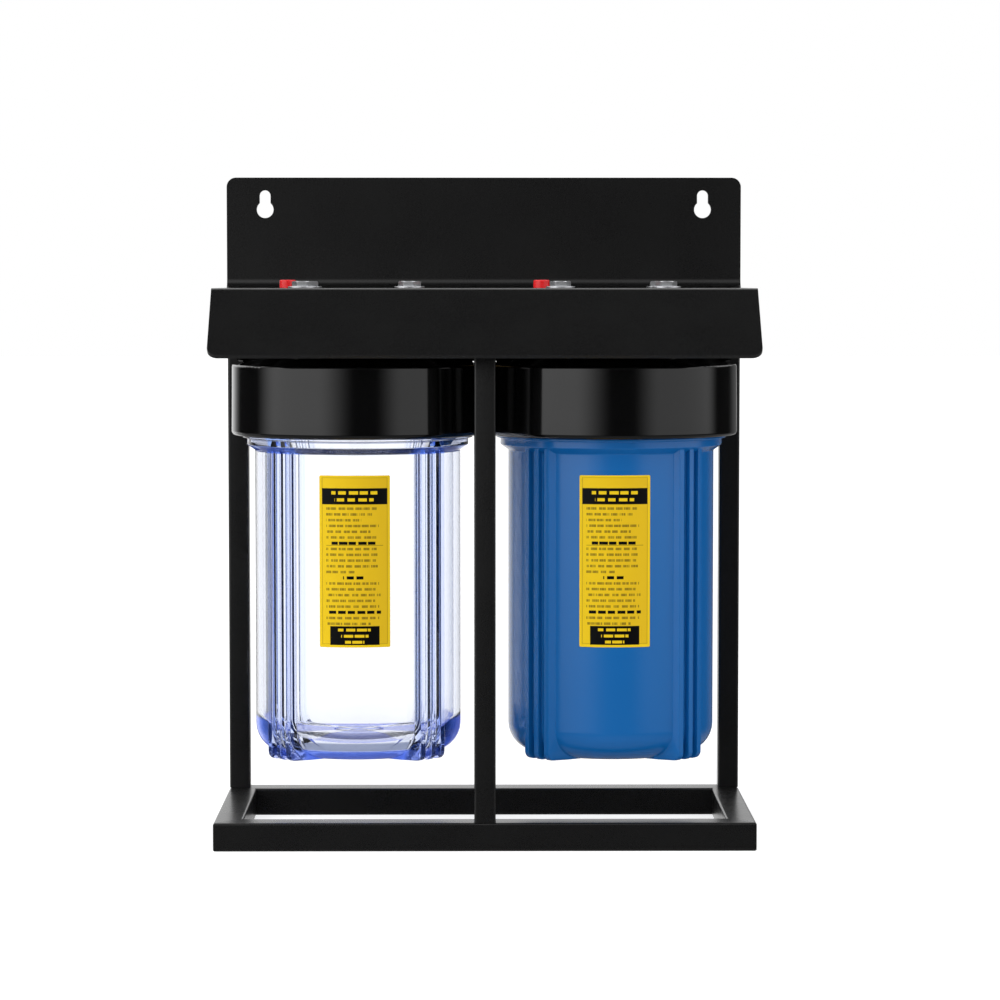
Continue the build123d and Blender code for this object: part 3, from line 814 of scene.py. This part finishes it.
@dataclass
class Sump:
    """One screw-in bowl with its ribs, collar, thread and cavity."""

    shop: Workshop
    node: str
    name: str
    body: Body
    slot: Slot
    wall_radius: float = 73.8 * MM
    bowl_radius: float = 68.8 * MM
    rib_radius: float = 77.6 * MM
    collar_radius: float = 79.5 * MM
    lip_radius: float = 82.6 * MM
    neck_radius: float = 81.7 * MM
    neck_relief: float = 0.6 * MM
    neck_bore: float = 75.0 * MM
    bottom_round: float = 20.0 * MM
    rib_round: float = 5.4 * MM
    inner_round: float = 19.0 * MM
    foot_drop: float = 0.5 * MM
    floor_thickness: float = 8.0 * MM
    collar_height: float = 5.1 * MM
    collar_slope: float = 4.0 * MM
    lip_height: float = 1.5 * MM
    neck_height: float = 37.5 * MM
    thread_start: float = 3.3 * MM
    thread_pitch: float = 6.0 * MM
    thread_turns: int = 3
    thread_depth: float = 1.7 * MM
    thread_end: float = 0.2 * MM
    rows_per_turn: int = 12
    rib_angle: float = np.radians(3.15)
    gap_angle: float = np.radians(3.90)
    groove_draft: float = np.radians(0.1)
    flank: float = 2.9 * MM
    flank_spread: float = 0.5
    rib_edge: float = 0.45 * MM
    groups: int = 4
    ribs: int = 3
    gate_radius: float = 6.0 * MM
    gate_depth: float = 1.6 * MM
    ridge_radius: float = 17.0 * MM
    ridge_size: float = 2.0 * MM
    seal_radius: float = 78.35 * MM
    seal_groove: float = 3.8 * MM
    seal_groove_depth: float = 3.5 * MM
    column_step: float = np.radians(1.5)

    def __post_init__(self) -> None:
        """Take the bowl's place from its CAD node."""
        low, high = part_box(self.node)
        self.centre = axis_of(self.node)
        self.foot, self.top = low[2], high[2]
        self.lip_top = self.top - self.neck_height
        self.lip_low = self.lip_top - self.lip_height
        self.collar_low = self.lip_low - self.collar_height
        self.shoulder = self.collar_low - self.collar_slope
        self.thread_low = self.lip_top + self.thread_start
        self.thread_length = self.thread_turns * self.thread_pitch
        self.thread_top = self.thread_low + self.thread_length + self.thread_end

    def columns(self) -> tuple[Array, Array, Array]:
        """Work out the columns round the wall.

        The section is a rounded line of arc length and height: flat between the groups, up a sloping
        flank, over each rib and groove. The arc length over the wall's radius is the angle, and the
        height over the rib's height is the rib share. The pull is 1 at a flank's foot, falls to 0 up
        the flank and out to the middle of the flat, and has the sign of the side.

        Returns:
            The angle, the rib share and the pull of each column.
        """
        height = self.rib_radius - self.wall_radius
        pitch = self.rib_angle + self.gap_angle
        half = (self.ribs - 1) / 2 * pitch + self.rib_angle / 2
        foot = half + self.flank / self.wall_radius
        side = FULL_TURN / self.groups / 2
        marks = [(-side, 0, 0), (-foot, 0, 2 * self.rib_edge)]
        for index in range(self.ribs):
            middle = (index - (self.ribs - 1) / 2) * pitch
            left, right = middle - self.rib_angle / 2, middle + self.rib_angle / 2
            if index:
                marks.append((left - self.groove_draft, 0, self.rib_edge))
            marks += [(left, height, self.rib_edge), (right, height, self.rib_edge)]
            if index < self.ribs - 1:
                marks.append((right + self.groove_draft, 0, self.rib_edge))
        marks += [(foot, 0, 2 * self.rib_edge), (side, 0, 0)]
        section = rounded([(a * self.wall_radius, h, r) for a, h, r in marks], 3)
        section = refined(section, self.column_step * self.wall_radius)[:-1]
        local, share = section[:, 0] / self.wall_radius, section[:, 1] / height
        pull = np.where(abs(local) < foot, 1 - share, (side - abs(local)) / (side - foot))
        pull = pull * (abs(local) > half) * np.sign(local)
        turns = (np.arange(self.groups) + 0.5) * 2 * side
        return (turns[:, None] + local).ravel(), np.tile(share, self.groups), np.tile(pull, self.groups)

    def outer(self, angles: Array, share: Array, pull: Array) -> Array:
        """Work out the outside up to the lip.

        A column's profile is (1 - share) times the plain wall's plus share times the crest's, turned to
        its angle. Where the wall draws in, a flank's foot spreads along it by a share of that.

        Args:
            angles: The columns' angles.
            share: The columns' rib shares.
            pull: The columns' pulls.

        Returns:
            Rows by columns of points.
        """
        base = self.foot + self.foot_drop
        root = self.wall_radius - self.bottom_round
        slope = self.collar_slope / (self.collar_radius - self.wall_radius)
        crest_top = self.shoulder + (self.rib_radius - self.wall_radius) * slope
        gate = [
            (0, base + self.gate_depth, 0), (self.gate_radius - MM, base + self.gate_depth, 0.5 * MM),
            (self.gate_radius, base, 0.5 * MM), (0.90 * root, base, 0),
        ]
        collar = [
            (self.collar_radius, self.collar_low, 0.7 * MM),
            (self.collar_radius, self.lip_low, 0.6 * MM),
            (self.lip_radius, self.lip_low, 0.4 * MM),
            (self.lip_radius, self.lip_top, 0.4 * MM),
            (self.neck_radius, self.lip_top, 0),
        ]
        wall, crest = [
            rounded([*gate, (0.97 * root, low, 0), (reach, low, turn), (reach, top, bend), *collar], 8)
            for reach, low, turn, top, bend in (
                (self.wall_radius, base, self.bottom_round, self.shoulder, 1.2 * MM),
                (self.rib_radius, self.foot, self.rib_round, crest_top, 0.9 * MM),
            )]
        radius = wall[:, :1] * (1 - share) + crest[:, :1] * share
        height = wall[:, 1:] * (1 - share) + crest[:, 1:] * share
        drawn_in = np.clip(self.wall_radius - wall[:, :1], 0, self.bottom_round) * (wall[:, :1] > 0.91 * root)
        angles = angles + pull * drawn_in * self.flank_spread / np.maximum(wall[:, :1], root)
        return polar(self.centre, radius, angles, height)

    def neck(self, angles: Array) -> Array:
        """Work out the threaded neck.

        The radius is less by the groove's depth where the phase, which is the height over the pitch
        less the angle's share of a turn, falls in the groove. The groove fades in and out.

        Args:
            angles: The columns' angles.

        Returns:
            Rows by columns of points.
        """
        rows = np.linspace(0, self.thread_length, self.rows_per_turn * self.thread_turns + 1)
        height = np.concatenate([[self.lip_top], self.thread_low + rows, [self.thread_top]])[:, None]
        along = (height - self.thread_low) / self.thread_length
        phase = ((height - self.thread_low) / self.thread_pitch - angles / FULL_TURN) % 1
        groove = np.clip((0.34 - abs(phase - 0.5)) / 0.12, 0, 1)
        fade = np.clip(along * 9, 0, 1) * np.clip((1 - along) * 9, 0, 1)
        return polar(self.centre, self.neck_radius - self.thread_depth * groove * fade, angles, height)

    def inner(self) -> Array:
        """Give the profile over the rim, down the bore and across the floor to the middle."""
        floor = self.foot + self.foot_drop + self.floor_thickness
        relieved = self.neck_radius - self.neck_relief
        ridge_out, ridge_in = [self.ridge_radius + side * self.ridge_size / 2 for side in (1, -1)]
        seal_out, seal_in = [self.seal_radius + side * self.seal_groove / 2 for side in (1, -1)]
        seal_low = self.top - self.seal_groove_depth
        return rounded([
            (self.neck_radius, self.thread_top, 0),
            (relieved, self.thread_top, 0.3 * MM),
            (relieved, self.top, 0.3 * MM),
            (seal_out, self.top, 0.2 * MM),
            (seal_out, seal_low, 0.4 * MM),
            (seal_in, seal_low, 0.4 * MM),
            (seal_in, self.top, 0.2 * MM),
            (self.neck_bore, self.top, 0.5 * MM),
            (self.neck_bore, self.lip_top, 3.0 * MM),
            (self.bowl_radius, self.shoulder, 3.0 * MM),
            (self.bowl_radius, floor, self.inner_round),
            (ridge_out, floor, 0.4 * MM),
            (ridge_out, floor + self.ridge_size, 0.4 * MM),
            (ridge_in, floor + self.ridge_size, 0.4 * MM),
            (ridge_in, floor, 0.4 * MM),
            (0, floor, 0),
        ], 6)

    def build(self) -> None:
        """Make the bowl as one closed shell and fit it in the place of its node."""
        angles, share, pull = self.columns()
        shells = self.outer(angles, share, pull), self.neck(angles), lathe(self.inner(), self.centre, angles)
        self.shop.fit(moulding(self.name, [Skin(shell) for shell in shells]), self.body, self.slot, self.node)


@dataclass
class Label:
    """A thin printed film wrapped on the front of a sump."""

    sump: Sump
    radius: float = 73.87 * MM
    thickness: float = 0.22 * MM
    corner: float = 1.0 * MM
    corner_steps: int = 6
    columns: int = 32

    def build(self) -> None:
        """Make the film.

        A row is a flat loop: along the front from left to right and back behind it. The half width is
        the label's, less what the corner's circle takes away. The arc length from the middle over the
        radius is the angle from the front. The back lies two labels higher in the print, where it is bare.
        """
        sump = self.sump
        low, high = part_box(f"{sump.node}_label")
        half_height = (high[2] - low[2]) / 2
        half_width = self.radius * np.arcsin(min(1.0, (high[0] - low[0]) / 2 / self.radius))
        bend = np.linspace(0, np.pi / 2, self.corner_steps)
        inset = self.corner * (1 - np.sin(bend))
        narrowing = self.corner * (1 - np.cos(bend))[::-1]
        height = np.concatenate([-half_height + inset[::-1], half_height - inset])
        width = half_width - np.concatenate([narrowing, narrowing[::-1]])
        order = np.argsort(height)
        rows = np.concatenate([order[:1], order, order[-1:]])
        height, width = height[rows][:, None], width[rows][:, None]
        share = np.linspace(-1, 1, self.columns)
        arc = width * np.concatenate([share, share[::-1]])
        depth = np.tile(np.repeat([self.radius + self.thickness, self.radius], self.columns), (len(rows), 1))
        depth[[0, -1]] = self.radius + self.thickness / 2
        angle = -np.pi / 2 + arc / self.radius
        points = polar(sump.centre, depth, angle, (low[2] + high[2]) / 2 + height)
        rear = np.repeat([0.0, 2.0], self.columns)
        places = 0.5 + arc / (2 * half_width), 0.5 + height / (2 * half_height) + rear + 0 * arc
        film = moulding(f"{sump.name}_label", [Skin(points, np.stack(places, axis=-1))])
        sump.shop.fit(film, sump.body, Slot.LABEL, f"{sump.node}_label")


@dataclass
class Fasteners:
    """The hexagon screws and washers that hang one head from the shelf.

    Attributes:
        crown: The rows over a screw's top, as shares of the hexagon.
        hollow: The share inside which the top is dished.
    """

    shop: Workshop
    side: str
    flats: float = 13.2 * MM
    corners: float = 1.145
    crown: Numbers = (0, 0.5, 0.72, 0.80, 0.86, 0.90, 0.94, 0.97, 1.0)
    hollow: float = 0.6
    dish: float = 0.25 * MM
    chamfer: float = np.radians(24)
    chamfer_start: float = 6.5 * MM
    shank: float = 4.0 * MM
    shank_point: float = 0.6 * MM
    washer_radius: float = 10.2 * MM
    washer_bore: float = 4.25 * MM
    washer_edge: float = 0.25 * MM
    head_height: float = 3.7 * MM
    columns: int = 72
    crease: float = np.radians(25)

    def screw(self, centre: Span, low: float, top: float) -> Skin:
        """Work out one screw from its point's height to its top's.

        The hexagon's radius is half the flats over the cosine of the angle from the nearest flat. The
        top falls away from the chamfer's start by the tangent of its angle.
        """
        angles = even_angles(self.columns)
        beside = (angles - np.pi / 2 + FULL_TURN / 12) % (FULL_TURN / 6) - FULL_TURN / 12
        hexagon = np.minimum(self.flats / 2 / np.cos(beside), self.flats / 2 * self.corners)
        level = np.ones_like(hexagon)
        seat = top - self.head_height
        shares = np.array(self.crown)[:, None]
        fall = np.maximum(0, hexagon * shares - self.chamfer_start) * np.tan(self.chamfer)
        crown = top - fall - self.dish * (shares < self.hollow)
        radius = np.vstack([
            hexagon * shares, hexagon, hexagon, hexagon * 0.985,
            level * self.shank, level * self.shank, level * 0.8 * self.shank, level * 0,
        ])
        height = np.vstack([
            crown, crown[-1] - 0.25 * MM, level * (seat + 0.3 * MM), level * seat,
            level * seat, level * (low + self.shank_point), level * low, level * low,
        ])
        return Skin(polar(centre, radius[::-1], angles, height[::-1]))

    def washer(self, centre: Span, low: float, top: float) -> Skin:
        """Work out one washer, a flat ring with its edges eased."""
        bore, outer, edge = self.washer_bore, self.washer_radius, self.washer_edge
        ring = rounded([
            (bore + MM, low, 0), (outer, low, edge), (outer, top, edge),
            (bore, top, edge), (bore, low, edge), (bore + MM, low, 0),
        ], 4)
        return Skin(lathe(ring, centre, even_angles(self.columns)))

    def build(self) -> None:
        """Make the four washers of one head, with a screw in the middle of each."""
        screws, washers = f"{self.side}_head_screws", f"{self.side}_head_washers"
        low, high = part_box(washers)
        across, deep = [(low[axis] + self.washer_radius, high[axis] - self.washer_radius) for axis in (0, 1)]
        places = [(x, y) for x in across for y in deep]
        ends = [corner[2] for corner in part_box(screws)]
        heads = [self.screw(place, *ends) for place in places]
        rings = [self.washer(place, low[2], high[2]) for place in places]
        self.shop.fit(moulding(f"{self.side}_hexagon_screws", heads, self.crease), Body.ROOT, Slot.ZINC, screws)
        self.shop.fit(moulding(f"{self.side}_washers", rings), Body.ROOT, Slot.ZINC, washers)


@dataclass
class ReturnSpring:
    """The coil spring that lifts one relief button, wound to its node's full height."""

    shop: Workshop
    side: str
    wire: float = 0.4 * MM
    turns: float = 3.5
    rows_per_turn: int = 40
    columns: int = 14

    def build(self) -> None:
        """Wind the wire.

        The wire's middle turns evenly at the coil's radius and climbs evenly. The wire's section is a
        circle round it, in the plane of the coil's axis. Each end is a flat disc.
        """
        node = f"{self.side}_relief_spring"
        low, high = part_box(node)
        centre = axis_of(node)
        tall = high[2] - low[2]
        coil = (high[0] - low[0]) / 2 - self.wire
        along = np.linspace(0, 1, int(self.rows_per_turn * self.turns) + 1)
        along = np.concatenate([along[:1], along, along[-1:]])[:, None]
        section = np.full_like(along, self.wire)
        section[[0, -1]] = 0
        around = even_angles(self.columns)
        radius = coil + section * np.cos(around)
        height = low[2] + self.wire + along * (tall - 2 * self.wire) - section * np.sin(around)
        points = polar(centre, radius, along * self.turns * FULL_TURN, height)
        spring = moulding(f"{self.side}_return_spring", [Skin(points)])
        self.shop.fit(spring, Body.ROOT, Slot.SPRING, node)
        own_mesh(spring)


@dataclass(frozen=True)
class SoftBox:
    """A soft light that fills one part of the sky.

    Attributes:
        start: The bearings in degrees from the front over which it starts, as it ends over end.
        heights: The sines of its lowest and highest height, which fade over edge.
    """

    start: Span
    end: Span
    heights: Span
    strength: float
    edge: float = 0.11

    def light(self, bearing: Signal, up: Signal) -> Signal:
        """Give the box's light at a bearing and the sine of a height."""
        across = bearing.rise(*self.start) * (1 - bearing.rise(*self.end))
        return across * up.between(*self.heights, self.edge) * self.strength


@dataclass
class Studio:
    """The floor, the light and the camera of the photograph."""

    camera_place: Colour = (-8.816 * MM, -2383.909 * MM, 397.92 * MM)
    camera_pitch: float = 0.06573
    camera_yaw: float = 0.00837
    lens: float = 119.80
    floor_size: float = 30.0
    ambient: float = 0.62
    mirror_ambient: float = 0.02
    left_box: SoftBox = SoftBox((0, 36), (77, 104), (-0.10, 0.86), 1.60)
    right_box: SoftBox = SoftBox((17, 43), (94, 112), (-0.10, 0.62), 1.02)
    front_box: float = 0.70
    rear_wall: float = 1.10
    ground: float = 0.26

    def camera(self) -> None:
        """Place the camera at the photograph's angle."""
        data = bpy.data.cameras.new("photo_camera")
        data.lens = self.lens
        data.sensor_width = 36.0
        data.clip_end = 100.0
        camera = linked("photo_camera", data)
        camera.location = self.camera_place
        camera.rotation_euler = (np.pi / 2 - self.camera_pitch, 0, -self.camera_yaw)
        bpy.context.scene.camera = camera

    def floor(self) -> None:
        """Lay a pale floor that shows white where no shadow falls, and is open from below."""
        half = self.floor_size / 2
        mesh = bpy.data.meshes.new("studio_floor")
        corners = [(-half, -half, 0), (half, -half, 0), (half, half, 0), (-half, half, 0)]
        mesh.from_pydata(corners, [], [(0, 1, 2, 3)])
        made, graph = material_graph("studio_floor")
        seen = graph.signal("LightPath", "Is Camera Ray").either(
            graph.signal("LightPath", "Is Transmission Ray"))
        matt = graph.node("BsdfDiffuse", {"Color": (0.8, 0.8, 0.8)})
        thin = graph.node("BsdfDiffuse", {"Color": (0.45, 0.45, 0.45)})
        glow = graph.node("Emission", {"Color": WHITE, "Strength": 0.8})
        above = graph.blend(matt, graph.node("AddShader", {0: thin, 1: glow}), seen)
        below = graph.signal("NewGeometry", "Backfacing")
        clear = graph.node("BsdfTransparent", {"Color": WHITE})
        graph.node("OutputMaterial", {"Surface": graph.blend(above, clear, below)})
        mesh.materials.append(made)
        floor = linked("studio_floor", mesh)
        floor.visible_glossy = False

    def light(self) -> None:
        """Surround the object with a plain soft room.

        Seen directly the room is white. As a light it is grey with a soft box at each side of the
        camera. As a reflection it is dark but for the same two boxes, a dimmer box over the camera,
        and the wall behind, screened at the right. Through clear plastic all but that wall is grey.
        """
        world = bpy.data.worlds.new("studio")
        world.use_nodes = True
        bpy.context.scene.world = world
        world.cycles.sampling_method = "NONE"
        graph = Graph(world.node_tree)
        camera, through, mirror = [
            graph.signal("LightPath", f"Is {kind} Ray") for kind in ("Camera", "Transmission", "Glossy")]
        right, deep, up = graph.axes(graph.node("TexCoord").outputs["Generated"])
        bearing = graph.maths("ARCTAN2", right, deep * -1) * (360 / FULL_TURN)
        left, side = bearing * -1, abs(bearing)
        boxes = self.left_box.light(left, up) + self.right_box.light(bearing, up)
        over = up.between(0.30, 0.80, 0.12) * (1 - side.rise(70, 110)) * self.front_box
        wall = left.rise(132, 158) + bearing.rise(132, 150) * 0.13 + bearing.rise(166, 176) * 0.87
        wall = wall.either(up.rise(0.35, 0.5) * side.rise(100, 130) * 1.3) * self.rear_wall
        wall = wall * (1 - up.rise(0.88, 0.98)) * up.rise(-0.42, -0.24)
        ground = (up * -1).rise(0.19, 0.40) * self.ground
        reflected = self.mirror_ambient + boxes + over + wall + ground
        lit = self.ambient + boxes
        looked_through = 1 - side.between(100, 146, 8) * 0.55 - (1 - side.rise(50, 70)) * 0.5
        strength = camera + (1 - camera) * (
            through * looked_through + (1 - through) * (mirror * reflected + (1 - mirror) * lit))
        background = graph.node("Background", {"Color": WHITE, "Strength": strength})
        graph.node("OutputWorld", {"Surface": background})

    def build(self) -> None:
        """Set the whole studio."""
        self.camera()
        self.floor()
        self.light()
        bpy.context.scene.view_settings.view_transform = "Standard"


def main() -> None:
    """Build and dress the whole object."""
    logging.basicConfig(level=logging.INFO, format="%(message)s")
    shop = Workshop(make_finishes(), frame["nodes"])
    Studio().build()
    Stand(shop).build()
    for sump in (
        Sump(shop, "clear_sump", "clear_bowl", Body.CLEAR_SUMP, Slot.CLEAR),
        Sump(shop, "blue_sump", "blue_bowl", Body.BLUE_SUMP, Slot.BLUE),
    ):
        sump.build()
        Label(sump).build()
    for side in ("left", "right"):
        Fasteners(shop, side).build()
        ReturnSpring(shop, side).build()
        shop.dress(Slot.HEAD, f"{side}_head")
        shop.dress(Slot.BUSH, f"{side}_relief_bush")
        shop.dress(Slot.BUTTON, f"{side}_relief_button")
        shop.dress(Slot.STAINLESS, f"{side}_relief_stem")
        shop.dress(Slot.RUBBER, f"{side}_relief_seal")
    shop.dress(Slot.BRASS, "joining_nipple")
    shop.dress(Slot.RUBBER, "nipple_gaskets", "clear_sump_oring", "blue_sump_oring")
    shop.dress(Slot.MEDIA, "cartridge_media")
    shop.dress(Slot.CARTRIDGE_PLASTIC, "cartridge_core", "cartridge_lower_cap", "cartridge_upper_cap")
    shop.dress(Slot.CARTRIDGE_RUBBER, "cartridge_lower_gasket", "cartridge_upper_gasket")


if __name__ == "__main__":
    main()
